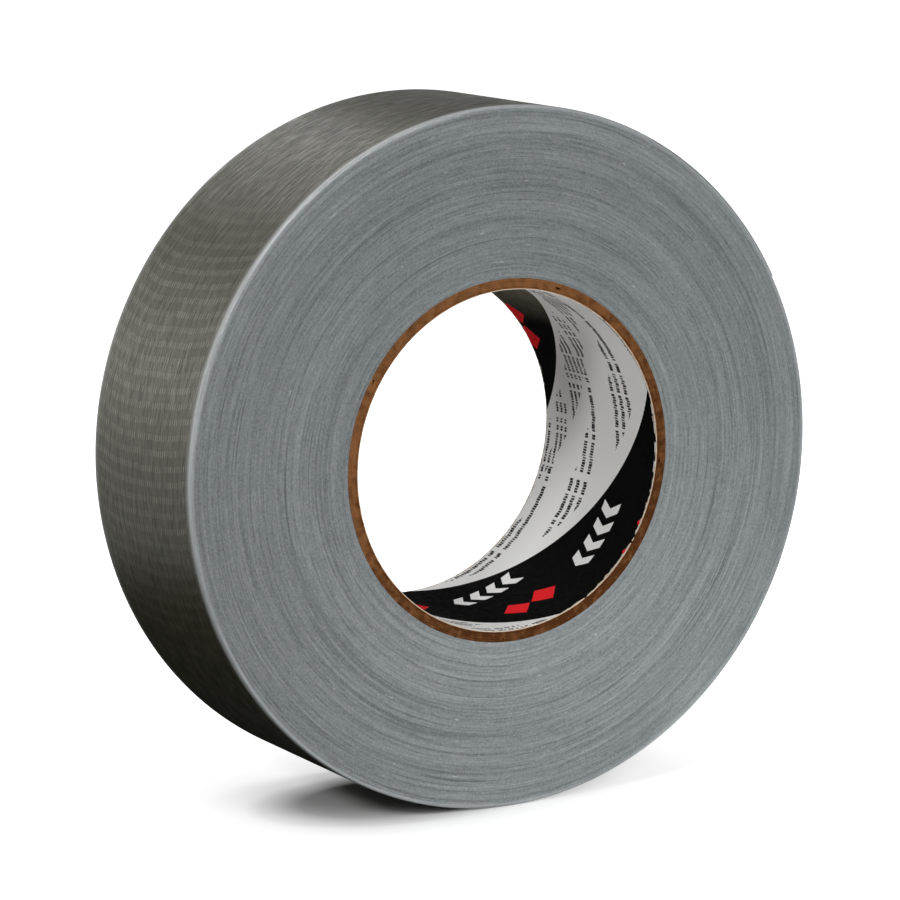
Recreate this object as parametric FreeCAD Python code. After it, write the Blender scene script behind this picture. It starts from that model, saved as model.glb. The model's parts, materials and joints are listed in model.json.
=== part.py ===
"""Roll of cloth duct tape, standing on its tread.

A strip of laminated tape (pigmented polyethylene film, cotton scrim, rubber adhesive) is wound on a
spiral paperboard core. The core is a printed paper liner and several board plies, each a strip wound as
a helix whose edges meet at a butt seam. The first and the last turn of the tape are kept as its three
layers, the turns between them are one bonded body, and the free end of the tape, its tail, is three
short lengths that peel away from the roll one after another.

Frame: the origin is the centre of the core's bore, halfway along it. +Y runs along the roll's axis, from
the front side face to the back one, +Z is up, and the roll stands on its tread. Angles are in degrees,
measured about the axis from +X towards +Z. Sizes are in millimetres.
"""
import FreeCAD
import Part

import math
import os

# Core
bore_diameter = 76.2
liner_thickness = 0.14
board_thickness = 0.42
board_plies = 5
bond_line = 0.04
ply_helix_angle = 33.4
liner_seam_gap = 0.3
board_seam_gap = 0.7
liner_seam_angle = 201.5
seam_stagger = 77.0

# Tape strip
tape_width = 48.0
tape_length = 54800.0
film_thickness = 0.09
scrim_thickness = 0.06
adhesive_thickness = 0.107
first_turn_start_angle = 250.0
first_turn_start_gap = 0.4

# Side wander of the wound turns: packs of turns lie a little to one side or the other
winding_packs = 13
pack_drift = 0.15
pack_drift_step = 137.5

# Free end of the tape
tail_tip_angle = 28.0
tail_segment_length = 15.0
tail_segments = ("tip", "middle", "root")
tail_clearance = 0.05
tail_joint_gap = 0.05

# Worked out from the sizes above. The core is slit to length together with the tape on it.
core_length = tape_width
tape_thickness = film_thickness + scrim_thickness + adhesive_thickness
bore_radius = bore_diameter / 2
core_radius = bore_radius + liner_thickness + board_plies * (bond_line + board_thickness)
mean_roll_radius = math.sqrt(core_radius**2 + tape_length * tape_thickness / math.pi)
roll_radius = mean_roll_radius + tape_thickness / 2

# The last turn is drawn as two half circles, whose centres lie either side of the axis on the line
# through the tail's tip. Its radius so falls by one tape thickness over the turn, as a spiral's does,
# from the roll's radius at the tail's tip.
centre_shift = tape_thickness / 4
first_half_radius = roll_radius - centre_shift
second_half_radius = roll_radius - 3 * centre_shift
half_turn_angle = tail_tip_angle + 180
full_turn_angle = tail_tip_angle + 360
tail_segment_angle = math.degrees(tail_segment_length / first_half_radius)
tail_gap_angle = math.degrees(tail_joint_gap / first_half_radius)
peel_angle = tail_tip_angle + len(tail_segments) * tail_segment_angle

axis = FreeCAD.Vector(0, 1, 0)
across = FreeCAD.Vector(1, 0, 0)
origin = FreeCAD.Vector(0, 0, 0)


def point(radius, angle, centre=origin):
    """A point of the roll's middle plane, at this radius and angle about a centre."""
    turn = math.radians(angle)
    return centre + FreeCAD.Vector(radius * math.cos(turn), 0, radius * math.sin(turn))


first_centre = point(centre_shift, tail_tip_angle)
second_centre = point(centre_shift, half_turn_angle)


def arc(radius, start, end, centre=origin):
    """An arc in the roll's middle plane, from one angle to another."""
    points = [point(radius, angle, centre) for angle in (start, (start + end) / 2, end)]
    return Part.Arc(*points).toShape()


def line(start, end):
    return Part.LineSegment(start, end).toShape()


def plate(edges):
    """A closed outline of the middle plane, made as wide as the tape."""
    face = Part.Face(Part.Wire(Part.__sortEdges__(edges)))
    face.translate(axis * (-tape_width / 2))
    return face.extrude(axis * tape_width)


def ring(inner_radius, outer_radius, drift=0.0):
    """A plain tube about the roll's axis, as long as the tape is wide and moved along the axis by drift."""
    base = axis * (drift - tape_width / 2)
    outer = Part.makeCylinder(outer_radius, tape_width, base, axis)
    inner = Part.makeCylinder(inner_radius, tape_width, base, axis)
    return outer.cut(inner)


def strip(inner_radius, outer_radius, start, end, centre=origin):
    """A length of one layer, curved about a centre, with square ends."""
    edges = [arc(radius, start, end, centre) for radius in (inner_radius, outer_radius)]
    for angle in (start, end):
        edges.append(line(point(inner_radius, angle, centre), point(outer_radius, angle, centre)))
    return plate(edges)


def seam_cutter(inner_radius, outer_radius, gap, angle):
    """A helical bar that cuts the butt seam of one ply. The seam is at this angle on the front side face."""
    middle_radius = (inner_radius + outer_radius) / 2
    overrun = outer_radius - inner_radius + gap
    slope = math.radians(ply_helix_angle)
    lead = 2 * math.pi * middle_radius * math.tan(slope)
    half_height = gap / math.cos(slope) / 2
    low, high = inner_radius - overrun, outer_radius + overrun
    corners = [
        FreeCAD.Vector(low, 0, -half_height),
        FreeCAD.Vector(high, 0, -half_height),
        FreeCAD.Vector(high, 0, half_height),
        FreeCAD.Vector(low, 0, half_height),
    ]
    profile = Part.makePolygon(corners + corners[:1])
    helix = Part.makeHelix(lead, core_length + 2 * overrun, middle_radius)
    bar = Part.Wire(helix.Edges).makePipeShell([profile], True, True)
    # the helix is made about +Z: lay it along the roll's axis and turn the seam to its place
    bar.rotate(origin, across, -90)
    bar.translate(axis * (-core_length / 2 - overrun))
    bar.rotate(origin, axis, -(angle + 360 * overrun / lead))
    return bar


def core():
    """The printed liner on the bore, then the board plies, each with its seam turned from the last one's."""
    plies = [("core_liner", liner_thickness, liner_seam_gap)]
    for number in range(board_plies):
        plies.append((f"core_board_ply_{number + 1}", board_thickness, board_seam_gap))
    parts = {}
    inner_radius = bore_radius
    for number, (name, thickness, gap) in enumerate(plies):
        outer_radius = inner_radius + thickness
        cutter = seam_cutter(inner_radius, outer_radius, gap, liner_seam_angle + number * seam_stagger)
        parts[name] = ring(inner_radius, outer_radius).cut(cutter)
        inner_radius = outer_radius + bond_line
    return parts


def layer_depths(clearance):
    """Outer and inner depth of each layer under the tape's outer face, clear of what the tape is stuck to."""
    scrim_top = film_thickness
    adhesive_top = film_thickness + scrim_thickness
    return {
        "film": (0.0, scrim_top),
        "scrim": (scrim_top, adhesive_top),
        "adhesive": (adhesive_top, tape_thickness - clearance),
    }


def first_turn():
    """The first turn, stuck to the core by its adhesive. It ends where it climbs over its own start."""
    film_radius = core_radius + tape_thickness
    end = first_turn_start_angle + 360 - math.degrees(first_turn_start_gap / core_radius)
    parts = {}
    for name, (outer_depth, inner_depth) in layer_depths(bond_line).items():
        radii = (film_radius - inner_depth, film_radius - outer_depth)
        parts[f"first_turn_{name}"] = strip(*radii, first_turn_start_angle, end)
    return parts


def last_turn_arcs(depth, start):
    """The last turn's line at this depth under its outer face, from an angle on to where the turn ends."""
    return [
        arc(first_half_radius - depth, start, half_turn_angle, first_centre),
        arc(second_half_radius - depth, half_turn_angle, full_turn_angle, second_centre),
    ]


def wound_turns():
    """All turns between the first and the last, bonded by their adhesive. Packs of turns drift sideways."""
    inner_radius = core_radius + tape_thickness + bond_line
    pack_build_up = (roll_radius - 2 * tape_thickness - inner_radius) / winding_packs
    outline = last_turn_arcs(tape_thickness, tail_tip_angle)
    outline.append(line(outline[-1].Vertexes[-1].Point, outline[0].Vertexes[0].Point))
    last_pack_radius = inner_radius + (winding_packs - 1) * pack_build_up
    body = plate(outline)
    body = body.cut(Part.makeCylinder(last_pack_radius, tape_width, axis * (-tape_width / 2), axis))
    for number in range(winding_packs - 1):
        pack_radius = inner_radius + number * pack_build_up
        drift = pack_drift * math.sin(math.radians(pack_drift_step * number))
        body = body.fuse(ring(pack_radius, pack_radius + pack_build_up, drift))
    return body.removeSplitter()


def last_turn():
    """The last turn as three layers, from the line where the tail lifts to the step under the tail's tip."""
    parts = {}
    for name, (outer_depth, inner_depth) in layer_depths(bond_line).items():
        outer = last_turn_arcs(outer_depth, peel_angle)
        inner = last_turn_arcs(inner_depth, peel_angle)
        ends = [
            line(outer[0].Vertexes[0].Point, inner[0].Vertexes[0].Point),
            line(outer[-1].Vertexes[-1].Point, inner[-1].Vertexes[-1].Point),
        ]
        parts[f"last_turn_{name}"] = plate(outer + inner + ends)
    return parts


def tail():
    """The free end of the tape: lengths that hinge on each other, each as three layers."""
    parts = {}
    for number, place in enumerate(tail_segments):
        start = tail_tip_angle + number * tail_segment_angle
        end = start + tail_segment_angle - tail_gap_angle
        for name, (outer_depth, inner_depth) in layer_depths(tail_clearance).items():
            radii = (first_half_radius - inner_depth, first_half_radius - outer_depth)
            parts[f"tail_{place}_{name}"] = strip(*radii, start, end, first_centre)
    return parts


def tail_hinges():
    """Where each length of the tail turns: on the film's outer face, in the middle of the joint gap."""
    hinges = {}
    for number, place in enumerate(tail_segments):
        angle = tail_tip_angle + (number + 1) * tail_segment_angle - tail_gap_angle / 2
        hinges[place] = point(first_half_radius, angle, first_centre)
    return hinges


os.makedirs("parts", exist_ok=True)
parts = core() | first_turn() | {"wound_turns": wound_turns()} | last_turn() | tail()
for name, shape in parts.items():
    shape.exportStep(f"parts/{name}.step")
    print(name, "valid" if shape.isValid() else "INVALID", len(shape.Solids), "solid", round(shape.Volume, 2))
print("core radius", round(core_radius, 3), "roll radius", round(roll_radius, 3))
for place, hinge in tail_hinges().items():
    print("hinge of the tail's", place, [round(value, 4) for value in hinge])
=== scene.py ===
import json
import math
import random

import bpy
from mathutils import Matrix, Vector, noise


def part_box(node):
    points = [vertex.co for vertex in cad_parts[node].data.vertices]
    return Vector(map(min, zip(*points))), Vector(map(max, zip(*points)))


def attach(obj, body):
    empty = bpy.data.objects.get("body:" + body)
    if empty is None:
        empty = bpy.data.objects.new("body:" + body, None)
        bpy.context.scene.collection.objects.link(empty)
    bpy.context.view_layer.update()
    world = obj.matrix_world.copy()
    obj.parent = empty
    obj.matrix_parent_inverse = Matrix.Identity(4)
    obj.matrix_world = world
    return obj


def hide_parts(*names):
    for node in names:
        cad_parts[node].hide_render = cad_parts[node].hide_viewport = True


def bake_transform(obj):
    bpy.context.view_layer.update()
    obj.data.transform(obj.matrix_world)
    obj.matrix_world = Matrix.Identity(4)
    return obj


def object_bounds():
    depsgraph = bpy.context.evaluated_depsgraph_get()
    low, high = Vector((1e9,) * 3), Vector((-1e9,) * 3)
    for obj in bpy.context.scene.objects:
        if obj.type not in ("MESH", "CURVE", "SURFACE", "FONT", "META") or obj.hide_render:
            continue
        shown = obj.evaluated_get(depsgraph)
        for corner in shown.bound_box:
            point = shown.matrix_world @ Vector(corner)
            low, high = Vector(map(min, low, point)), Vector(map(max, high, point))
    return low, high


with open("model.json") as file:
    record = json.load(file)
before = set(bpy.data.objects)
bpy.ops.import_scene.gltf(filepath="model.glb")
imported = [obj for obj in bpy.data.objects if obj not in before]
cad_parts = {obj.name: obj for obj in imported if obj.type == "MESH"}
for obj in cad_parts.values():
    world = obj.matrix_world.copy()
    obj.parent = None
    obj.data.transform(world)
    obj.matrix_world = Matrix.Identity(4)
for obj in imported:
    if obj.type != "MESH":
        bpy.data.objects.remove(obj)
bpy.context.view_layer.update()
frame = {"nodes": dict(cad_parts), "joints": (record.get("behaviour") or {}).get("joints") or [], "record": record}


# ---------------------------------------------------------------------------------------------------
# Camera. A long lens, a little above the roll's axis and to the left of its front side face, so that the
# side face, the left part of the tread and the right part of the bore all show.
camera_azimuth = math.radians(-29.694)
camera_elevation = math.radians(9.911)
camera_distance = 0.9037
camera_aim_right = -0.001393
camera_aim_up = -0.001107
camera_lens = 160.53
camera_sensor = 36.0

towards_camera = Vector((
    math.sin(camera_azimuth) * math.cos(camera_elevation),
    -math.cos(camera_azimuth) * math.cos(camera_elevation),
    math.sin(camera_elevation),
))
camera_turn = towards_camera.to_track_quat("Z", "Y")
aim = camera_turn @ Vector((camera_aim_right, camera_aim_up, 0))
camera_data = bpy.data.cameras.new("camera")
camera_data.lens = camera_lens
camera_data.sensor_width = camera_sensor
camera_data.clip_start = 0.01
camera = bpy.data.objects.new("camera", camera_data)
camera.rotation_mode = "QUATERNION"
camera.rotation_quaternion = camera_turn
camera.location = aim + towards_camera * camera_distance
bpy.context.scene.collection.objects.link(camera)
bpy.context.scene.camera = camera


# ---------------------------------------------------------------------------------------------------
# Core liner. A strip of coated white paper wound as a helix on the inside of the core, with black bands
# that run round the bore. It is slit together with the tape, so its ends are torn and show raw paper.
core_bore = next(mount for mount in frame["record"]["mounts"] if mount["name"] == "core_bore")
bore_radius = core_bore["dims"]["r_mm"] / 1000
liner_outer_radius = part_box("core_liner")[1].x
half_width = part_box("core_liner")[1].y
liner_steps = 720
rag_depth = 0.00022
# each wave's fineness, how far the two ends are apart in it, and its share of the depth
rag_waves = ((54, 60, 0.6), (171, 190, 0.4))
tear_depth = 0.0011

band_angle = math.radians(33.4)
band_run = 1 / math.tan(band_angle)
bands_round_bore = 4
first_black_centre = math.radians(-24)
row_pitch = 0.0163
first_row = -0.0104
paper_white = (0.88, 0.88, 0.865, 1)
paper_raw = (0.58, 0.50, 0.40, 1)
ink_black = (0.003, 0.003, 0.003, 1)
ink_white = (0.88, 0.88, 0.87, 1)
ink_red = (0.90, 0.022, 0.028, 1)
ink_grey = (0.03, 0.03, 0.03, 1)
# the colour of a painted sheen, for the black at the top of the bore
ink_painted_sheen = (0.27, 0.25, 0.18, 1)

chevron_half_height = 0.00345
chevron_lean = 0.5
chevrons_centre = 0.0121
chevrons_half_length = 0.0087
chevron_start = 0.0034
chevron_pitch = 0.0044
chevron_half_width = 0.0012
lozenge_start = -0.0169
lozenge_pitch = 0.0074
lozenge_slope = 0.85
lozenge_half_length = 0.0035

stroke_pitch = 0.00062
large_half_line = 0.00075
# each line's place up its row, and its start and length round the bore
large_lines = [(-0.0031, -0.0224, 0.0335), (0.0, -0.0224, 0.0230), (0.0029, -0.0215, 0.0168)]
small_half_line = 0.0005
small_start = 0.0115
small_first = -0.0070
small_spacing = 0.0018
small_lengths = (0.0088, 0.0140, 0.0153, 0.0048, 0.0147, 0.0150, 0.0158, 0.0128)
line_fill = 0.9
stroke_lift = 0.3
stroke_gap_chance = 0.13
# heights in the bore where the painted sheen on the black starts and where it is full
painted_sheen_starts = 0.024
painted_sheen_is_full = 0.037


def about_axis(radius, angle, along):
    """A point at this radius and angle about the roll's axis, from +X towards +Z."""
    return Vector((radius * math.cos(angle), along, radius * math.sin(angle)))


def spun_ring(name, section, steps):
    """A closed section of (radius, along) points, spun once round the roll's axis. Its first and last copies
    lie together and aren't merged, so that the ring can still be opened into a spiral."""
    bpy.ops.object.select_all(action="DESELECT")
    bpy.ops.mesh.primitive_circle_add(vertices=len(section), fill_type="NOTHING", calc_uvs=False)
    ring = bpy.context.object
    ring.name = ring.data.name = name
    for vertex, (radius, along) in zip(ring.data.vertices, section):
        vertex.co = (radius, along, 0)
    bpy.ops.object.mode_set(mode="EDIT")
    bpy.ops.mesh.select_all(action="SELECT")
    bpy.ops.mesh.spin(
        steps=steps, angle=2 * math.pi, use_auto_merge=False, center=(0, 0, 0), axis=(0, 1, 0))
    bpy.ops.object.mode_set(mode="OBJECT")
    return ring


def close_seams(piece):
    """Merges points that lie together, closes what is open and turns every face outwards."""
    bpy.ops.object.mode_set(mode="EDIT")
    bpy.ops.mesh.select_all(action="SELECT")
    bpy.ops.mesh.remove_doubles(threshold=1e-6)
    bpy.ops.mesh.fill_holes(sides=0)
    bpy.ops.mesh.select_all(action="SELECT")
    bpy.ops.mesh.normals_make_consistent(inside=False)
    bpy.ops.object.mode_set(mode="OBJECT")


def new_material(name):
    """A material, its node tree and its Principled shader."""
    material = bpy.data.materials.new(name)
    material.use_nodes = True
    tree = material.node_tree
    return material, tree, tree.nodes["Principled BSDF"]


def put(tree, socket, value):
    """Links a socket to another node's output, or sets its value."""
    if isinstance(value, bpy.types.NodeSocket):
        tree.links.new(value, socket)
    else:
        socket.default_value = value


def calc(tree, operation, *values):
    """One Math node."""
    node = tree.nodes.new("ShaderNodeMath")
    node.operation = operation
    for socket, value in zip(node.inputs, values):
        put(tree, socket, value)
    return node.outputs[0]


def mix(tree, share, first, second):
    """A colour between two, by share."""
    node = tree.nodes.new("ShaderNodeMix")
    node.data_type = "RGBA"
    put(tree, node.inputs["Factor"], share)
    put(tree, node.inputs["A"], first)
    put(tree, node.inputs["B"], second)
    return node.outputs["Result"]


def spread(tree, value, low, high, to_low=0.0, to_high=1.0):
    """Maps a value's range to another, clamped."""
    node = tree.nodes.new("ShaderNodeMapRange")
    for socket, number in zip(node.inputs, (value, low, high, to_low, to_high)):
        put(tree, socket, number)
    return node.outputs[0]


def parts_of(tree, vector):
    """The three parts of a vector."""
    node = tree.nodes.new("ShaderNodeSeparateXYZ")
    put(tree, node.inputs[0], vector)
    return node.outputs


def object_place(tree):
    """Where a point lies in the roll's own frame, in metres."""
    return tree.nodes.new("ShaderNodeTexCoord").outputs["Object"]


def bump(tree, height, distance):
    """The normal of a surface with this relief, whose full height is a distance in metres."""
    node = tree.nodes.new("ShaderNodeBump")
    node.inputs["Strength"].default_value = 1.0
    node.inputs["Distance"].default_value = distance
    put(tree, node.inputs["Height"], height)
    return node.outputs["Normal"]


def new_effect(name, inputs, outputs):
    """A node group for an effect that several finishes share: the group, its inputs and its outputs."""
    group = bpy.data.node_groups.new(name, "ShaderNodeTree")
    for label, kind in inputs.items():
        group.interface.new_socket(name=label, in_out="INPUT", socket_type="NodeSocket" + kind)
    for label in outputs:
        group.interface.new_socket(name=label, in_out="OUTPUT", socket_type="NodeSocketFloat")
    given = group.nodes.new("NodeGroupInput").outputs
    return group, given, group.nodes.new("NodeGroupOutput").inputs


def use_effect(tree, group, **values):
    """Places an effect in a material with the material's own values."""
    node = tree.nodes.new("ShaderNodeGroup")
    node.node_tree = group
    for label, value in values.items():
        put(tree, node.inputs[label], value)
    return node.outputs


# Mottle: soft spots of one size, all round alike, as a mask.
mottle, given, result = new_effect(
    "mottle",
    {"Place": "Vector", "Scale": "Float", "Detail": "Float", "Low": "Float", "High": "Float"},
    ["Mask"])
spots = mottle.nodes.new("ShaderNodeTexNoise")
for label, socket in (("Vector", "Place"), ("Scale", "Scale"), ("Detail", "Detail")):
    put(mottle, spots.inputs[label], given[socket])
spots.inputs["Roughness"].default_value = 0.6
put(mottle, result["Mask"], spread(mottle, spots.outputs["Fac"], given["Low"], given["High"]))

# Round the axis: how far a point is from the roll's axis, and its angle about it.
round_axis, given, result = new_effect("round_axis", {"Place": "Vector"}, ["Radius", "Angle"])
x, _, z = parts_of(round_axis, given["Place"])
across = calc(round_axis, "ADD", calc(round_axis, "MULTIPLY", x, x), calc(round_axis, "MULTIPLY", z, z))
put(round_axis, result["Radius"], calc(round_axis, "SQRT", across))
put(round_axis, result["Angle"], calc(round_axis, "ARCTAN2", z, x))


def box_mask(tree, along, centre_along, half_along, across, half_across):
    """1 inside a box of two coordinates, 0 outside."""
    inside = calc(tree, "COMPARE", along, centre_along, half_along)
    return calc(tree, "MULTIPLY", inside, calc(tree, "COMPARE", across, 0.0, half_across))


def liner_print():
    """The liner's finish: bands, rows of plain marks on them, and raw paper along the torn ends."""
    material, tree, shader = new_material("liner_print")
    place = object_place(tree)
    along_axis = parts_of(tree, place)[1]

    # the distance round the bore, plus the helix's advance, so that it is constant along a band
    half_pair = math.pi * bore_radius / (bands_round_bore / 2)
    angle = use_effect(tree, round_axis, Place=place)["Angle"]
    round_bore = calc(tree, "MULTIPLY", angle, bore_radius)
    from_front = calc(tree, "ADD", along_axis, half_width)
    helix = calc(tree, "MULTIPLY_ADD", from_front, band_run, round_bore)
    centred = calc(tree, "SUBTRACT", helix, first_black_centre * bore_radius)
    black_across = calc(tree, "WRAP", centred, half_pair, -half_pair)
    white_across = calc(tree, "WRAP", calc(tree, "ADD", centred, half_pair), half_pair, -half_pair)
    is_black = calc(tree, "COMPARE", black_across, 0.0, half_pair / 2)
    row = calc(tree, "WRAP", calc(tree, "SUBTRACT", along_axis, first_row), row_pitch / 2, -row_pitch / 2)
    from_row = calc(tree, "ABSOLUTE", row)
    upright = calc(tree, "MULTIPLY_ADD", row, -band_run, black_across)

    # on the black bands: four white chevrons, then two red lozenges
    chevron = calc(tree, "SUBTRACT", upright, calc(tree, "MULTIPLY", from_row, chevron_lean))
    chevrons = box_mask(tree, chevron, chevrons_centre, chevrons_half_length, row, chevron_half_height)
    stripe = calc(tree, "WRAP", calc(tree, "SUBTRACT", chevron, chevron_start), chevron_pitch, 0.0)
    chevrons = calc(
        tree, "MULTIPLY", chevrons, calc(tree, "COMPARE", stripe, chevron_pitch / 2, chevron_half_width))
    lozenge = calc(tree, "WRAP", calc(tree, "SUBTRACT", upright, lozenge_start), lozenge_pitch, 0.0)
    lozenge = calc(tree, "ABSOLUTE", calc(tree, "SUBTRACT", lozenge, lozenge_pitch / 2))
    lozenge = calc(tree, "ADD", lozenge, calc(tree, "MULTIPLY", from_row, lozenge_slope))
    lozenges = calc(tree, "LESS_THAN", lozenge, lozenge_half_length)
    both_lozenges = calc(tree, "COMPARE", upright, lozenge_start + lozenge_pitch, lozenge_pitch)
    lozenges = calc(tree, "MULTIPLY", lozenges, both_lozenges)

    # on the white bands: lines of short strokes in two sizes, each wide or narrow, high or low, or left out
    cell = tree.nodes.new("ShaderNodeCombineXYZ")
    put(tree, cell.inputs[0], calc(tree, "FLOOR", calc(tree, "DIVIDE", round_bore, stroke_pitch)))
    row_number = calc(tree, "DIVIDE", calc(tree, "SUBTRACT", along_axis, row), row_pitch)
    row_number = calc(tree, "ROUND", row_number)
    put(tree, cell.inputs[1], row_number)
    chance = tree.nodes.new("ShaderNodeTexWhiteNoise")
    chance.noise_dimensions = "2D"
    put(tree, chance.inputs["Vector"], cell.outputs[0])
    chances = parts_of(tree, chance.outputs["Color"])
    across_stroke = calc(tree, "WRAP", round_bore, stroke_pitch, 0.0)
    across_stroke = calc(tree, "SUBTRACT", across_stroke, stroke_pitch / 2)
    stroke_half = spread(tree, chances[0], 0.0, 1.0, 0.25 * stroke_pitch, 0.5 * stroke_pitch)
    strokes = calc(tree, "LESS_THAN", calc(tree, "ABSOLUTE", across_stroke), stroke_half)
    strokes = calc(tree, "MULTIPLY", strokes, calc(tree, "GREATER_THAN", chances[1], stroke_gap_chance))
    small_lines = [
        (small_first + small_spacing * number, small_start, length)
        for number, length in enumerate(small_lengths)]
    lines = 0.0
    for group, half_line in ((large_lines, large_half_line), (small_lines, small_half_line)):
        lift = spread(tree, chances[2], 0.0, 1.0, -stroke_lift * half_line, stroke_lift * half_line)
        for height, start, length in group:
            off = calc(tree, "SUBTRACT", calc(tree, "SUBTRACT", row, height), lift)
            line = calc(tree, "LESS_THAN", calc(tree, "ABSOLUTE", off), half_line * line_fill)
            within = calc(tree, "COMPARE", white_across, start + length / 2, length / 2)
            lines = calc(tree, "MAXIMUM", lines, calc(tree, "MULTIPLY", line, within))
    lines = calc(tree, "MULTIPLY", lines, strokes)

    # painted sheen: the black is painted paler and mottled towards the top of the bore
    painted_sheen_mask = use_effect(tree, mottle, Place=place, Scale=300, Detail=3, Low=0.2, High=0.8)["Mask"]
    painted_sheen_mask = calc(tree, "MULTIPLY_ADD", painted_sheen_mask, 0.5, 0.5)
    painted_sheen_mask = calc(tree, "MULTIPLY", painted_sheen_mask, spread(tree, parts_of(tree, place)[2], painted_sheen_starts, painted_sheen_is_full))
    black = mix(tree, painted_sheen_mask, ink_black, ink_painted_sheen)
    on_black = mix(tree, chevrons, black, ink_white)
    on_black = mix(tree, lozenges, on_black, ink_red)
    colour = mix(tree, is_black, mix(tree, lines, paper_white, ink_grey), on_black)

    # raw paper where the knife tore the coating off, at both ends
    from_end = calc(tree, "SUBTRACT", half_width, calc(tree, "ABSOLUTE", along_axis))
    tear = use_effect(tree, mottle, Place=place, Scale=420, Detail=3, Low=0.35, High=0.75)["Mask"]
    torn = calc(tree, "LESS_THAN", from_end, calc(tree, "MULTIPLY", tear, tear_depth))
    put(tree, shader.inputs["Base Color"], mix(tree, torn, colour, paper_raw))
    grain = use_effect(tree, mottle, Place=place, Scale=900, Detail=4, Low=0.3, High=0.7)["Mask"]
    put(tree, shader.inputs["Roughness"], spread(tree, calc(tree, "ADD", grain, torn), 0.0, 1.6, 0.50, 0.95))
    shader.inputs["Specular IOR Level"].default_value = 0.01
    put(tree, shader.inputs["Normal"], bump(tree, grain, 0.00001))
    return material


liner_section = [(bore_radius, -half_width), (bore_radius, half_width)]
liner_section += [(liner_outer_radius, half_width), (liner_outer_radius, -half_width)]
liner = spun_ring("core_liner_paper", liner_section, liner_steps)
close_seams(liner)
for vertex in liner.data.vertices:
    end = math.copysign(1, vertex.co.y)
    outward = Vector((vertex.co.x, 0, vertex.co.z)).normalized()
    ragged = sum(
        share * noise.noise(outward * fineness + Vector((0, end * ends_apart, 0)))
        for fineness, ends_apart, share in rag_waves)
    vertex.co.y = end * (half_width - rag_depth * abs(ragged))
liner.data.materials.append(liner_print())
bpy.ops.object.shade_smooth_by_angle(angle=math.radians(30))
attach(liner, "roll")
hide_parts("core_liner")


# ---------------------------------------------------------------------------------------------------
# Board plies. Kraft paperboard, wound as a helix ply by ply and glued. The CAD plies have the true walls
# and seams, so they stay, with a kraft finish: mottled fibre, a few pale fibre ends, a fuzzy cut end.
kraft_light = (0.205, 0.086, 0.030, 1)
kraft_dark = (0.054, 0.017, 0.003, 1)
kraft_fibre = (0.26, 0.14, 0.065, 1)
ply_fineness = 1900
ply_contrast = 1.5
# how steeply the painted shade on the board leans towards low on the right
painted_shade_lean = 1.5


def kraft_board():
    """Brown board: plies of mottled fibre with pale torn fibre ends, rough, and painted shade that darkens it low
    on the right.
    """
    material, tree, shader = new_material("kraft_board")
    place = object_place(tree)
    x, _, z = parts_of(tree, place)
    # painted shade: the board is darker low on the right
    low_right = calc(tree, "SUBTRACT", x, calc(tree, "MULTIPLY", z, painted_shade_lean))
    painted_shade = spread(tree, low_right, -0.05, 0.06, -0.35, 0.45)
    pulp = use_effect(tree, mottle, Place=place, Scale=420, Detail=4, Low=0.3, High=0.7)["Mask"]
    by_ply = tree.nodes.new("ShaderNodeTexNoise")
    by_ply.noise_dimensions = "1D"
    put(tree, by_ply.inputs["W"], use_effect(tree, round_axis, Place=place)["Radius"])
    by_ply.inputs["Scale"].default_value = ply_fineness
    by_ply.inputs["Detail"].default_value = 2.0
    ply_tone = calc(tree, "SUBTRACT", by_ply.outputs["Fac"], 0.5)
    pulp = calc(tree, "MULTIPLY_ADD", ply_tone, ply_contrast, pulp)
    pulp = calc(tree, "SUBTRACT", pulp, painted_shade)
    ends = use_effect(tree, mottle, Place=place, Scale=1500, Detail=2, Low=0.64, High=0.76)["Mask"]
    board = mix(tree, pulp, kraft_dark, kraft_light)
    put(tree, shader.inputs["Base Color"], mix(tree, ends, board, kraft_fibre))
    shader.inputs["Roughness"].default_value = 0.85
    shader.inputs["Specular IOR Level"].default_value = 0.1
    fuzz = use_effect(tree, mottle, Place=place, Scale=1200, Detail=4, Low=0.2, High=0.8)["Mask"]
    put(tree, shader.inputs["Normal"], bump(tree, fuzz, 0.00005))
    return material


kraft = kraft_board()
for name, node in frame["nodes"].items():
    if name.startswith("core_board_ply"):
        node.data.materials.clear()
        node.data.materials.append(kraft)


# ---------------------------------------------------------------------------------------------------
# Wound turns. One strip of tape, wound about 145 times on the core: what shows is its two slit edges,
# turn beside turn, pigmented film and adhesive smeared by the knife, with small steps between turns.
tape_thickness = 0.000257
hinge_names = ("tail_curl_tip", "tail_curl_middle", "tail_peel")
hinges = [next(joint["pos_m"] for joint in frame["joints"] if joint["name"] == name) for name in hinge_names]
hinge_angles = [math.atan2(hinge[2], hinge[0]) for hinge in hinges]
segment_angle = hinge_angles[1] - hinge_angles[0]
tip_angle = hinge_angles[0] - segment_angle
tail_angle = len(hinges) * segment_angle
roll_radius = Vector(hinges[0]).length
rim_radius = 0.00032
rim_run = 0.0008

first_turn_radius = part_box("first_turn_film")[1].x
turn_count = math.floor((roll_radius - 2 * tape_thickness - first_turn_radius) / tape_thickness)
first_wound_radius = roll_radius - (turn_count + 2) * tape_thickness
wound_steps = 160
turn_flat = 0.84
edge_setback = 0.00002
under_rim = 0.00005
covered_setback = 0.00012
pack_length = 9
pack_spread = 0.00003
turn_spread = 0.000012
odd_turn_pitch = 13
odd_turn_step = 0.00006
steady_turns = 4
wander_step = 0.000015
wander_round = 2.2
wander_by_turn = 0.37
covered_share = 1.05
drift = random.Random(12)
pack_drift = [drift.uniform(-pack_spread, pack_spread) for _ in range(turn_count // pack_length + 3)]
turn_drift = [drift.gauss(0, turn_spread) for _ in range(turn_count + 3)]
for odd_turn in range(6, turn_count - 4, odd_turn_pitch):
    turn_drift[odd_turn + drift.randint(-4, 4)] -= drift.choice((-1, 1)) * odd_turn_step


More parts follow.
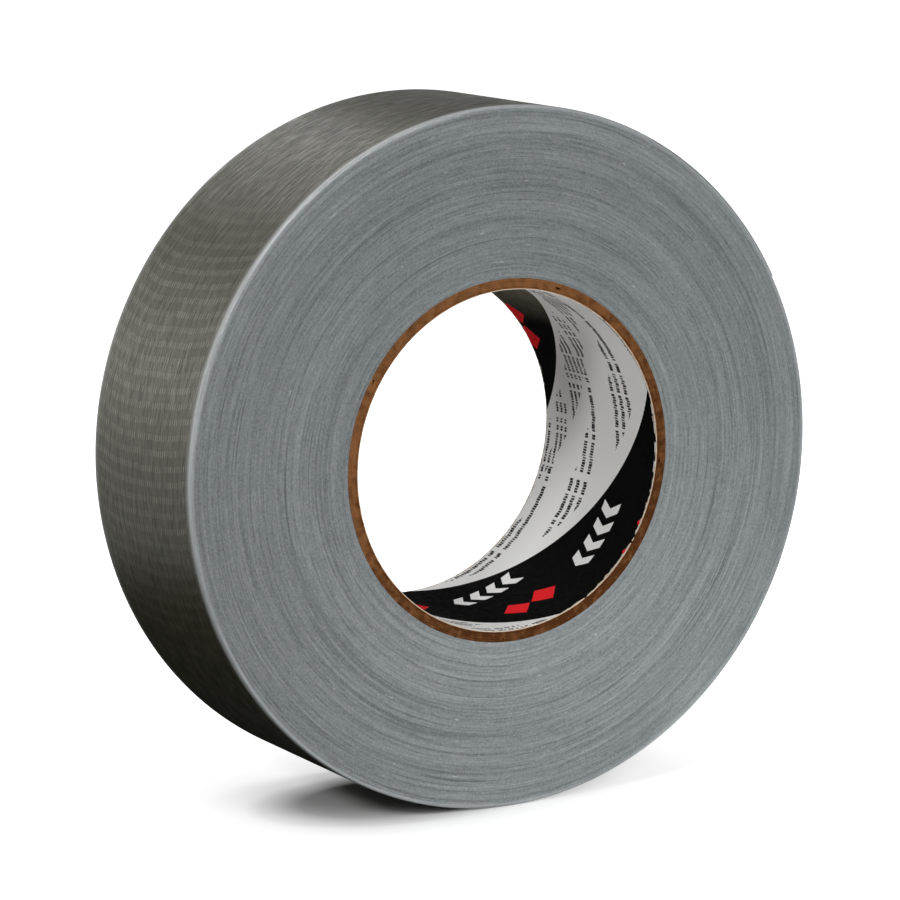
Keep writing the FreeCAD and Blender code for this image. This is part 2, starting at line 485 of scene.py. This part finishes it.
def between(values, place):
    """A smooth value from a list, at a place between its entries."""
    low = int(place)
    share = place - low
    share = share * share * (3 - 2 * share)
    return values[low] * (1 - share) + values[low + 1] * share


def spiral_radius(turned, depth):
    """Radius of the outer face after turning this far from the tail's tip, this deep under the face."""
    turns, rest = divmod(turned, 2 * math.pi)
    shift = tape_thickness / 4
    fall = shift * (1 - math.cos(rest)) if rest <= math.pi else shift * (3 + math.cos(rest))
    return roll_radius - turns * tape_thickness - fall - depth


def rim_setback(depth):
    """How far the rounded rim stands back from the side face, this deep under the tread. The rim is a
    quarter of an ellipse, drawn out across the tread."""
    if depth >= rim_radius:
        return 0.0
    return rim_run * (1 - math.sqrt(1 - (1 - max(depth, 0) / rim_radius) ** 2))


edges_between_turns = [
    (turn + share) * tape_thickness for turn in range(turn_count)
    for share in (0.5 - turn_flat / 2, 0.5 + turn_flat / 2)]
edges_between_turns[0] -= tape_thickness
wound_section = [(first_wound_radius + depth, -half_width) for depth in edges_between_turns]
wound_section += [(first_wound_radius + depth, half_width) for depth in reversed(edges_between_turns)]


def wound_place(index):
    """Where a point of the spun section goes: out by one tape in a whole turn, in or out of the side face by
    the drift of its turn and pack, and back at the rim."""
    step, corner = divmod(index, len(wound_section))
    turned = step / wound_steps
    start_radius, side_face = wound_section[corner]
    angle = tip_angle - 2 * math.pi * turned
    radius = start_radius + turned * tape_thickness
    turn = (start_radius - first_wound_radius) // tape_thickness + turned
    side = math.copysign(1, side_face)
    turn = max(turn, 0.0)
    steady = min(turn / steady_turns, 1.0)
    wander = (between(pack_drift, turn / pack_length) + between(turn_drift, turn)) * steady
    wander += wander_step * noise.noise(Vector((
        math.cos(angle) * wander_round, math.sin(angle) * wander_round, turn * wander_by_turn + side)))
    deep = spiral_radius(2 * math.pi * (1 - turned), 0) - radius
    setback = rim_setback(deep) + edge_setback + (under_rim if deep < rim_radius else 0)
    under_tail = 2 * math.pi * (1 - turned) < tail_angle * covered_share
    if radius > roll_radius - 1.5 * tape_thickness and under_tail:
        radius -= covered_setback
    return about_axis(radius, angle, side * (half_width - setback) + wander)


# Streaks: noise drawn out along one direction of the coordinates that it is given.
streaks, given, result = new_effect(
    "streaks", {"Place": "Vector", "Stretch": "Vector", "Detail": "Float"}, ["Mask"])
stretched = streaks.nodes.new("ShaderNodeVectorMath")
stretched.operation = "MULTIPLY"
put(streaks, stretched.inputs[0], given["Place"])
put(streaks, stretched.inputs[1], given["Stretch"])
drawn = streaks.nodes.new("ShaderNodeTexNoise")
put(streaks, drawn.inputs["Vector"], stretched.outputs[0])
put(streaks, drawn.inputs["Detail"], given["Detail"])
drawn.inputs["Scale"].default_value = 1.0
drawn.inputs["Roughness"].default_value = 0.6
put(streaks, result["Mask"], drawn.outputs["Fac"])

edge_dark = (0.086, 0.098, 0.102, 1)
edge_light = (0.230, 0.251, 0.254, 1)
edge_fleck = (0.42, 0.44, 0.43, 1)
# the rim's pale colour: partly the knife's smeared edge, partly a painted highlight
rim_pale_and_painted_highlight = (0.52, 0.54, 0.545, 1)
outer_turns = (0.0705, 0.0735)
shoulder_turns = (0.0771, 0.0778)


def slit_edges():
    """The slit edges of the turns: blue-grey, each turn a little different, speckled by the knife."""
    material, tree, shader = new_material("slit_edges")
    place = object_place(tree)
    x, _, z = parts_of(tree, place)
    polar = use_effect(tree, round_axis, Place=place)
    turned = calc(tree, "DIVIDE", calc(tree, "SUBTRACT", tip_angle, polar["Angle"]), 2 * math.pi)
    depth = calc(tree, "DIVIDE", calc(tree, "SUBTRACT", polar["Radius"], first_wound_radius), tape_thickness)
    layer = calc(tree, "ADD", calc(tree, "FLOOR", calc(tree, "SUBTRACT", depth, turned)), turned)
    by_turn = tree.nodes.new("ShaderNodeTexNoise")
    by_turn.noise_dimensions = "1D"
    put(tree, by_turn.inputs["W"], layer)
    by_turn.inputs["Scale"].default_value = 1.7
    by_turn.inputs["Detail"].default_value = 1.0
    ring_place = tree.nodes.new("ShaderNodeCombineXYZ")
    for socket, value in zip(ring_place.inputs, (x, polar["Radius"], z)):
        put(tree, socket, value)

    def round_streaks(along, across, detail):
        stretch = (along, across, along)
        return use_effect(tree, streaks, Place=ring_place.outputs[0], Stretch=stretch, Detail=detail)["Mask"]

    fine = round_streaks(along=260, across=4200, detail=3)
    long = round_streaks(along=45, across=1700, detail=2)
    packs = round_streaks(along=16, across=420, detail=2)
    # sparse thin dark arcs round the face, drawn in the colour
    dark_arcs = spread(tree, round_streaks(along=26, across=2300, detail=1), 0.64, 0.70)
    dusty = spread(tree, round_streaks(along=22, across=60, detail=1), 0.42, 0.62)
    dusty_outer = calc(tree, "MULTIPLY", spread(tree, polar["Radius"], *outer_turns), dusty)
    speckle = use_effect(tree, mottle, Place=place, Scale=2400, Detail=2, Low=0.25, High=0.75)["Mask"]
    tone = 0.0
    for mask, weight in ((by_turn.outputs["Fac"], 0.12), (packs, 0.18), (long, 0.24), (fine, 0.29),
                         (speckle, 0.17), (dark_arcs, -0.09), (dusty_outer, 0.07)):
        tone = calc(tree, "MULTIPLY_ADD", mask, weight, tone)
    tone = spread(tree, tone, 0.36, 0.64)
    # the outer turns' shoulder takes the rim's pale colour, partly a painted highlight
    shoulder = spread(tree, polar["Radius"], *shoulder_turns)
    shoulder = calc(tree, "MULTIPLY", shoulder, spread(tree, long, 0.3, 0.7, 0.15, 0.5))
    colour = mix(tree, shoulder, mix(tree, tone, edge_dark, edge_light), rim_pale_and_painted_highlight)
    flecks = spread(tree, round_streaks(along=330, across=1500, detail=2), 0.70, 0.78, 0.0, 0.6)
    put(tree, shader.inputs["Base Color"], mix(tree, flecks, colour, edge_fleck))
    put(tree, shader.inputs["Roughness"], spread(tree, speckle, 0.0, 1.0, 0.48, 0.62))
    shader.inputs["Specular IOR Level"].default_value = 0.3
    put(tree, shader.inputs["Normal"], bump(tree, tone, 0.00002))
    return material


wound = spun_ring("wound_turns_edges", wound_section, wound_steps)
for vertex in wound.data.vertices:
    vertex.co = wound_place(vertex.index)
close_seams(wound)
cut_edges = slit_edges()
wound.data.materials.append(cut_edges)
bpy.ops.object.shade_smooth_by_angle(angle=math.radians(35))
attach(wound, "roll")
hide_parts("wound_turns")


# ---------------------------------------------------------------------------------------------------
# First turn. The tape's start, three layers of film, scrim and adhesive, stuck to the core. Only its slit
# edges show, so the CAD layers stay, with the finish of the other turns' edges.
for name, node in frame["nodes"].items():
    if name.startswith("first_turn"):
        node.data.materials.clear()
        node.data.materials.append(cut_edges)


# ---------------------------------------------------------------------------------------------------
# Last turn. The film that makes the tread, over the cotton scrim, whose yarns press through it as rows of
# short ridges; their pale tops are a painted glint. The knife drew its edges down over the side faces as a
# rounded rim, pale partly from a painted highlight. The film runs on under the tail, where it shows once the
# tail lifts off.
film_thickness = 0.00009
scrim_thickness = 0.00006
adhesive_thickness = 0.000107
bond_line = 0.00004
yarn_pitch = 0.00104
weft_pitch = 0.0034
ridge_length = 0.0019
ridge_inset = 0.00040
ridge_height = 0.000014
smudge_along = 160
smudge_across = 800
smudge_seed = 5.0
# how strongly the yarns press through, at these angles round the roll in degrees; this also sets how strongly
# the ridges' painted glint shows
press_through = ((28, 0.4), (88, 0.5), (108, 0.3), (130, 0.2), (146, 0.9), (180, 1.0), (196, 0.4),
                 (215, 0.1), (300, 0.3), (330, 0.7), (388, 0.4))
dip_place = 0.33
back_rise = 0.0024
front_rise = 0.0040
row_wave = 0.0009
row_wave_along = 12
row_wave_across = 45
row_wave_seed = 3.0
row_wiggle = 0.00035
row_wiggle_along = 90
row_wiggle_across = 320
row_wiggle_seed = 9.0
flat_near_ends = 0.045
rim_cells = 8
# the rim's paleness, partly a painted highlight: where it starts and is full, what is left at the bend's end, its
# fade, and its share on the back rim
rim_pale_start = 0.0017
rim_pale_full = 0.0002
rim_pale_end = 0.35
rim_pale_fade = 1.6
rim_pale_back = 0.3
press_mean = 0.65
press_swing = 0.9
press_least = 0.1
film_contrast = 2.5
contrast_lost = 1.6

film_dark = (0.018, 0.017, 0.007, 1)
film_light = (0.056, 0.054, 0.034, 1)
# the yarn ridges' pale top, a painted glint
ridge_painted_glint = (0.175, 0.172, 0.144, 1)
yarn_dark = (0.34, 0.34, 0.31, 1)
yarn_light = (0.62, 0.61, 0.56, 1)
glue_dark = (0.33, 0.33, 0.30, 1)
glue_light = (0.46, 0.46, 0.42, 1)


def film_tone(tree):
    """The film's own streaks and smudges along the tape, and the marks of its relief and rims, with painted glint
    and highlight.
    """
    strip = tree.nodes.new("ShaderNodeUVMap")
    strip.uv_map = "strip"
    scratches = use_effect(tree, streaks, Place=strip.outputs[0], Stretch=(120, 2200, 1), Detail=3)["Mask"]
    smudges = use_effect(tree, streaks, Place=strip.outputs[0], Stretch=(190, 800, 1), Detail=2)["Mask"]
    marks = []
    for name in ("relief", "press", "rim"):
        attribute = tree.nodes.new("ShaderNodeAttribute")
        attribute.attribute_name = name
        marks.append(attribute.outputs["Fac"])
    relief, press, rim = marks
    tone = calc(tree, "MULTIPLY_ADD", scratches, 0.5, calc(tree, "MULTIPLY", smudges, 0.5))
    contrast = calc(tree, "MULTIPLY_ADD", press, -contrast_lost, film_contrast)
    tone = calc(tree, "MULTIPLY_ADD", calc(tree, "SUBTRACT", tone, 0.5), contrast, 0.5)
    # painted glint: the ridges' tops are paler, as strongly as the yarns press through
    ridge = calc(tree, "MULTIPLY", spread(tree, relief, 0.5, 1.0), press)
    return spread(tree, tone, 0.33, 0.67), ridge, rim


def film(name):
    """Pigmented film over the scrim: olive grey, satin, streaked along the tape, paler on yarns by a painted glint
    and on rims partly by a painted highlight.
    """
    material, tree, shader = new_material(name)
    tone, ridge, rim = film_tone(tree)
    colour = mix(tree, ridge, mix(tree, tone, film_dark, film_light), ridge_painted_glint)
    put(tree, shader.inputs["Base Color"], mix(tree, rim, colour, rim_pale_and_painted_highlight))
    put(tree, shader.inputs["Roughness"], spread(tree, tone, 0.0, 1.0, 0.43, 0.29))
    shader.inputs["Specular IOR Level"].default_value = 0.5
    shader.inputs["Specular Tint"].default_value = (1.0, 0.995, 0.78, 1)
    put(tree, shader.inputs["Normal"], bump(tree, tone, 0.00004))
    return material


def smeared_rim_with_painted_highlight():
    """The rounded shoulder of the outer turn: film and cut edges rubbed smooth, a glossy grey, pale partly from a
    painted highlight.
    """
    material, tree, shader = new_material("tape_rim")
    tone, _, rim = film_tone(tree)
    cut = mix(tree, tone, edge_dark, edge_light)
    put(tree, shader.inputs["Base Color"], mix(tree, rim, cut, rim_pale_and_painted_highlight))
    put(tree, shader.inputs["Roughness"], spread(tree, tone, 0.0, 1.0, 0.18, 0.28))
    shader.inputs["Specular IOR Level"].default_value = 1.0
    put(tree, shader.inputs["Normal"], bump(tree, tone, 0.00001))
    return material


def scrim_cloth():
    """Cotton scrim: off-white yarns, seen as a rough pale line."""
    material, tree, shader = new_material("scrim_cloth")
    place = object_place(tree)
    yarn = use_effect(tree, mottle, Place=place, Scale=2500, Detail=2, Low=0.3, High=0.7)["Mask"]
    put(tree, shader.inputs["Base Color"], mix(tree, yarn, yarn_dark, yarn_light))
    shader.inputs["Roughness"].default_value = 0.85
    put(tree, shader.inputs["Normal"], bump(tree, yarn, 0.00003))
    return material


def tape_glue():
    """Rubber adhesive, filled with a pale pigment: tacky, uneven and a little glossy."""
    material, tree, shader = new_material("tape_glue")
    place = object_place(tree)
    tack = use_effect(tree, mottle, Place=place, Scale=900, Detail=3, Low=0.3, High=0.7)["Mask"]
    put(tree, shader.inputs["Base Color"], mix(tree, tack, glue_dark, glue_light))
    put(tree, shader.inputs["Roughness"], spread(tree, tack, 0.0, 1.0, 0.3, 0.55))
    put(tree, shader.inputs["Normal"], bump(tree, tack, 0.00005))
    return material


finishes = {"film": film("tape_film"), "scrim": scrim_cloth(), "adhesive": tape_glue()}
rim_finish = smeared_rim_with_painted_highlight()
for name, node in frame["nodes"].items():
    if name.startswith(("last_turn", "tail")):
        node.data.materials.clear()
        node.data.materials.append(finishes[name.rsplit("_", 1)[1]])


def row_shift(from_tip, across):
    """How far a row of yarn ends strays from straight across: it dips behind the middle of the tread and
    rises to both sides, with small waves, and comes straight near the tail."""
    from_back = (half_width - across) / (2 * half_width)
    if from_back < dip_place:
        shift = -back_rise * (1 - from_back / dip_place) ** 2
    else:
        shift = -front_rise * ((from_back - dip_place) / (1 - dip_place)) ** 2
    shift += row_wave * noise.noise(Vector((
        from_tip * row_wave_along, across * row_wave_across, row_wave_seed)))
    from_ends = min(from_tip, 2 * math.pi * roll_radius - from_tip)
    return shift * min(max(from_ends / flat_near_ends - 1, 0.0), 1.0)


def pressed(angle):
    """How strongly the yarns press through the film, at an angle round the roll."""
    degrees = math.degrees(angle)
    while degrees > press_through[-1][0]:
        degrees -= 360
    degrees = max(degrees, press_through[0][0])
    for (low, strength), (high, next_strength) in zip(press_through, press_through[1:]):
        if degrees <= high:
            return strength + (next_strength - strength) * (degrees - low) / (high - low)
    return press_through[-1][1]


def strip_piece(name, start, end, depth, thickness, relief):
    """One layer of the tape, from one angle to another, with the scrim's relief if it is the film."""
    length = (end - start) * roll_radius
    wefts = max(round(length / weft_pitch), 2)
    pitch = length / wefts
    gap = (pitch - ridge_length) / 2
    flat_half = half_width - rim_run
    yarns = round(2 * flat_half / yarn_pitch)
    rim_arc = (rim_radius + rim_run) * math.pi / 4

    # a flat grid, with a column to each yarn and a row to each ridge and each gap between ridges
    bpy.ops.object.select_all(action="DESELECT")
    cells_along, cells_across = 2 * wefts + 1, yarns + 2 * rim_cells
    bpy.ops.mesh.primitive_grid_add(
        x_subdivisions=cells_along, y_subdivisions=cells_across, size=1, location=(0.5, 0.5, 0),
        calc_uvs=False)
    bpy.ops.object.transform_apply(location=True)
    piece = bpy.context.object
    piece.name = piece.data.name = name
    for vertex in piece.data.vertices:
        row, odd = divmod(round(vertex.co.x * cells_along), 2)
        column = round(vertex.co.y * cells_across) - rim_cells
        along = min(max(row * pitch + (gap if odd else -gap), 0.0), length)
        past = max(-column, column - yarns, 0)
        across = min(max(column, 0), yarns) * 2 * flat_half / yarns - flat_half
        vertex.co = (along, across + math.copysign(past * rim_arc / rim_cells, across), 0)

    # each ridge is inset in its cell and raised
    bpy.ops.object.mode_set(mode="EDIT")
    bpy.ops.mesh.select_mode(type="FACE")
    bpy.ops.mesh.select_all(action="DESELECT")
    bpy.ops.object.mode_set(mode="OBJECT")
    if relief:
        for polygon in piece.data.polygons:
            in_ridge = abs(polygon.center.x % pitch - pitch / 2) < gap / 2
            polygon.select = in_ridge and abs(polygon.center.y) < flat_half
    bpy.ops.object.mode_set(mode="EDIT")
    bpy.ops.mesh.inset(thickness=ridge_inset, depth=ridge_height, use_individual=True)
    bpy.ops.mesh.select_all(action="SELECT")
    bpy.ops.mesh.flip_normals()
    bpy.ops.object.mode_set(mode="OBJECT")

    # what the finish reads: where a ridge is and how strong, how near the rim, which sets the rim's pale colour,
    # partly a painted highlight and weaker on the back rim, and the place on the strip
    mesh = piece.data
    for mark in ("relief", "press", "rim"):
        mesh.attributes.new(mark, "FLOAT", "POINT")
    mesh.uv_layers.new(name="strip")
    relief_mark, press_mark, rim_mark = (mesh.attributes[mark].data for mark in ("relief", "press", "rim"))
    strip = mesh.uv_layers["strip"].data
    for vertex in mesh.vertices:
        along = vertex.co.x + start * roll_radius
        smudge = noise.noise(Vector((along * smudge_along, vertex.co.y * smudge_across, smudge_seed)))
        strength = min(max(press_mean + press_swing * smudge, press_least), 1.0)
        strength *= pressed(start + vertex.co.x / roll_radius)
        relief_mark[vertex.index].value = vertex.co.z / ridge_height
        press_mark[vertex.index].value = strength
        vertex.co.z *= strength
        past = abs(vertex.co.y) - flat_half
        if past < rim_pale_full:
            pale = 1 + (past - rim_pale_full) / (rim_pale_start + rim_pale_full)
            pale = max(pale, 0.0) ** rim_pale_fade
        else:
            pale = 1 - (1 - rim_pale_end) * (past - rim_pale_full) / (rim_arc - rim_pale_full)
        rim_mark[vertex.index].value = pale * (rim_pale_back if vertex.co.y > 0 else 1)
    for loop in mesh.loops:
        position = mesh.vertices[loop.vertex_index].co
        strip[loop.index].uv = (position.x + start * roll_radius, position.y)
    for polygon in mesh.polygons:
        polygon.material_index = int(relief and abs(polygon.center.y) > flat_half)

    # wound on to the roll, which turns its faces over, with its rims bent down over the side faces
    for vertex in mesh.vertices:
        along, across, height = vertex.co
        from_tip = along + (start - tip_angle) * roll_radius
        ease = min(max(min(along, length - along) / weft_pitch, 0.0), 1.0)
        shift = row_shift(from_tip, across)
        shift += row_wiggle * ease * noise.noise(Vector((
            from_tip * row_wiggle_along, across * row_wiggle_across, row_wiggle_seed)))
        angle = start + (along + shift) / roll_radius
        bend = max(abs(across) - flat_half, 0.0) / rim_arc * math.pi / 2
        rise = (rim_radius - depth + height) * math.cos(bend)
        radius = spiral_radius(angle - tip_angle, rim_radius) + rise
        side = math.copysign(min(abs(across), flat_half) + (rim_run - depth) * math.sin(bend), across)
        vertex.co = about_axis(radius, angle, side)
    wall = piece.modifiers.new("wall", "SOLIDIFY")
    wall.thickness = thickness
    wall.offset = -1
    bpy.ops.object.modifier_apply(modifier=wall.name)
    bpy.ops.object.shade_smooth_by_angle(angle=math.radians(60))
    flats = piece.modifiers.new("flats", "WEIGHTED_NORMAL")
    flats.keep_sharp = True
    bpy.ops.object.modifier_apply(modifier=flats.name)
    return piece


layers = {
    "film": (0.0, film_thickness),
    "scrim": (film_thickness, scrim_thickness),
    "adhesive": (film_thickness + scrim_thickness, adhesive_thickness - bond_line),
}
for layer, (depth, thickness) in layers.items():
    is_film = layer == "film"
    end = tip_angle + 2 * math.pi + (tail_angle if is_film else 0)
    piece = strip_piece(f"last_turn_{layer}_strip", tip_angle + tail_angle, end, depth, thickness, is_film)
    piece.data.materials.append(finishes[layer])
    if is_film:
        piece.data.materials.append(rim_finish)
    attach(piece, "roll")
    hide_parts(f"last_turn_{layer}")


# ---------------------------------------------------------------------------------------------------
# Tail. The free end of the tape, cut square, in three lengths that meet at the tail's hinges, each
# built lying on the roll like the last turn.
tail_lengths = {"tip": "tail_middle", "middle": "tail_root", "root": "roll"}
for (place, body_before), hinge_angle in zip(tail_lengths.items(), hinge_angles):
    start = hinge_angle - segment_angle
    for layer, (depth, thickness) in layers.items():
        is_film = layer == "film"
        piece = strip_piece(f"tail_{place}_{layer}_strip", start, hinge_angle, depth, thickness, is_film)
        piece.data.materials.append(finishes[layer])
        if is_film:
            piece.data.materials.append(rim_finish)
        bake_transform(piece)
        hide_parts(f"tail_{place}_{layer}")


# ---------------------------------------------------------------------------------------------------
# Studio. A pale floor that meets the roll's tread, and light from panels: large soft ones, a small bright one
# for the rim, and a small one close in front for the lower side face. The floor bounces less light than it
# shows, and its reflection near the roll is dark. Away from the roll it glows to white, seen or mirrored.
floor_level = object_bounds()[0].z
floor_radius = 6.0
floor_seen = (0.66, 0.66, 0.66, 1)
floor_bounced = (0.28, 0.28, 0.28, 1)
floor_mirrored = (0.03, 0.03, 0.03, 1)
shadow_centre = (-0.016, -0.005)
shadow_half = (0.030, 0.018)
glow_seen = ((0.85, 1.3, 0.42), (1.2, 1.9, 0.22), (2.0, 4.5, 0.46))
glow_mirrored = ((0.17, 0.26, 0.5), (0.3, 1.2, 0.5))


def kinds_of_ray(tree):
    """Whether a ray comes from the camera, and whether it comes by a glossy or a clear surface."""
    path = tree.nodes.new("ShaderNodeLightPath").outputs
    return path["Is Camera Ray"], calc(tree, "MAXIMUM", path["Is Glossy Ray"], path["Is Transmission Ray"])


def length_of(tree, vector):
    """The length of a vector."""
    node = tree.nodes.new("ShaderNodeVectorMath")
    node.operation = "LENGTH"
    put(tree, node.inputs[0], vector)
    return node.outputs["Value"]


def glow(tree, distance, bands):
    """Light that grows with distance in bands: where each starts, where it is full, and its strength."""
    total = 0.0
    for start, full, strength in bands:
        total = calc(tree, "ADD", total, spread(tree, distance, start, full, 0.0, strength))
    return total


bpy.ops.object.select_all(action="DESELECT")
bpy.ops.mesh.primitive_circle_add(
    vertices=96, radius=floor_radius, fill_type="NGON", location=(0, 0, floor_level))
floor = bpy.context.object
floor.name = "floor"
bpy.ops.object.transform_apply(location=True)
floor_material, tree, shader = new_material("floor_white")
seen, mirrored = kinds_of_ray(tree)
not_seen = mix(tree, mirrored, floor_bounced, floor_mirrored)
put(tree, shader.inputs["Base Color"], mix(tree, seen, not_seen, floor_seen))
shader.inputs["Roughness"].default_value = 0.9
shader.inputs["Specular IOR Level"].default_value = 0.0
place = object_place(tree)
in_shadow = tree.nodes.new("ShaderNodeMapping")
in_shadow.inputs["Scale"].default_value = (1 / shadow_half[0], 1 / shadow_half[1], 0)
in_shadow.inputs["Location"].default_value = (
    -shadow_centre[0] / shadow_half[0], -shadow_centre[1] / shadow_half[1], 0)
put(tree, in_shadow.inputs[0], place)
seen_glow = calc(tree, "MULTIPLY", glow(tree, length_of(tree, in_shadow.outputs[0]), glow_seen), seen)
mirrored_glow = calc(tree, "MULTIPLY", glow(tree, length_of(tree, place), glow_mirrored), mirrored)
put(tree, shader.inputs["Emission Strength"], calc(tree, "ADD", seen_glow, mirrored_glow))
shader.inputs["Emission Color"].default_value = (1, 1, 1, 1)
floor.data.materials.append(floor_material)


def panel(name, azimuth, elevation, distance, size, radiance):
    """A square panel of light that faces the roll, its angles in degrees. A radiance of 1 looks white."""
    data = bpy.data.lights.new(name, "AREA")
    data.shape = "SQUARE"
    data.size = size
    data.energy = radiance * math.pi * size * size
    lamp = bpy.data.objects.new(name, data)
    azimuth, elevation = math.radians(azimuth), math.radians(elevation)
    direction = Vector((
        math.sin(azimuth) * math.cos(elevation),
        -math.cos(azimuth) * math.cos(elevation),
        math.sin(elevation),
    ))
    lamp.location = direction * distance
    lamp.rotation_mode = "QUATERNION"
    lamp.rotation_quaternion = direction.to_track_quat("Z", "Y")
    bpy.context.scene.collection.objects.link(lamp)


panel("front_panel", azimuth=5, elevation=25, distance=1.2, size=0.7, radiance=6.3)
panel("low_key_panel", azimuth=17, elevation=-25, distance=0.131, size=0.05, radiance=7.4)
panel("rim_panel", azimuth=-56, elevation=30, distance=1.2, size=0.18, radiance=42.0)
panel("back_right_panel", azimuth=158, elevation=21, distance=1.4, size=0.4, radiance=0.35)
panel("back_high_panel", azimuth=176, elevation=30, distance=1.4, size=0.62, radiance=1.58)
panel("back_middle_panel", azimuth=-163, elevation=23, distance=1.4, size=0.4, radiance=0.25)
panel("back_left_panel", azimuth=-151, elevation=15, distance=1.4, size=0.62, radiance=1.72)
panel("left_panel", azimuth=-110, elevation=55, distance=1.4, size=0.5, radiance=6.5)

ambient = 0.02
horizon_top = 0.2
world = bpy.data.worlds.new("studio")
bpy.context.scene.world = world
world.use_nodes = True
tree = world.node_tree
background = tree.nodes["Background"]
background.inputs["Color"].default_value = (1, 1, 1, 1)
height = parts_of(tree, tree.nodes.new("ShaderNodeTexCoord").outputs["Generated"])[2]
seen, mirrored = kinds_of_ray(tree)
backdrop = calc(tree, "MULTIPLY", spread(tree, height, 0.0, horizon_top, 1.0, 0.0), mirrored)
backdrop = calc(tree, "MAXIMUM", backdrop, seen)
put(tree, background.inputs["Strength"], calc(tree, "MAXIMUM", ambient, backdrop))
bpy.context.scene.view_settings.view_transform = "Standard"
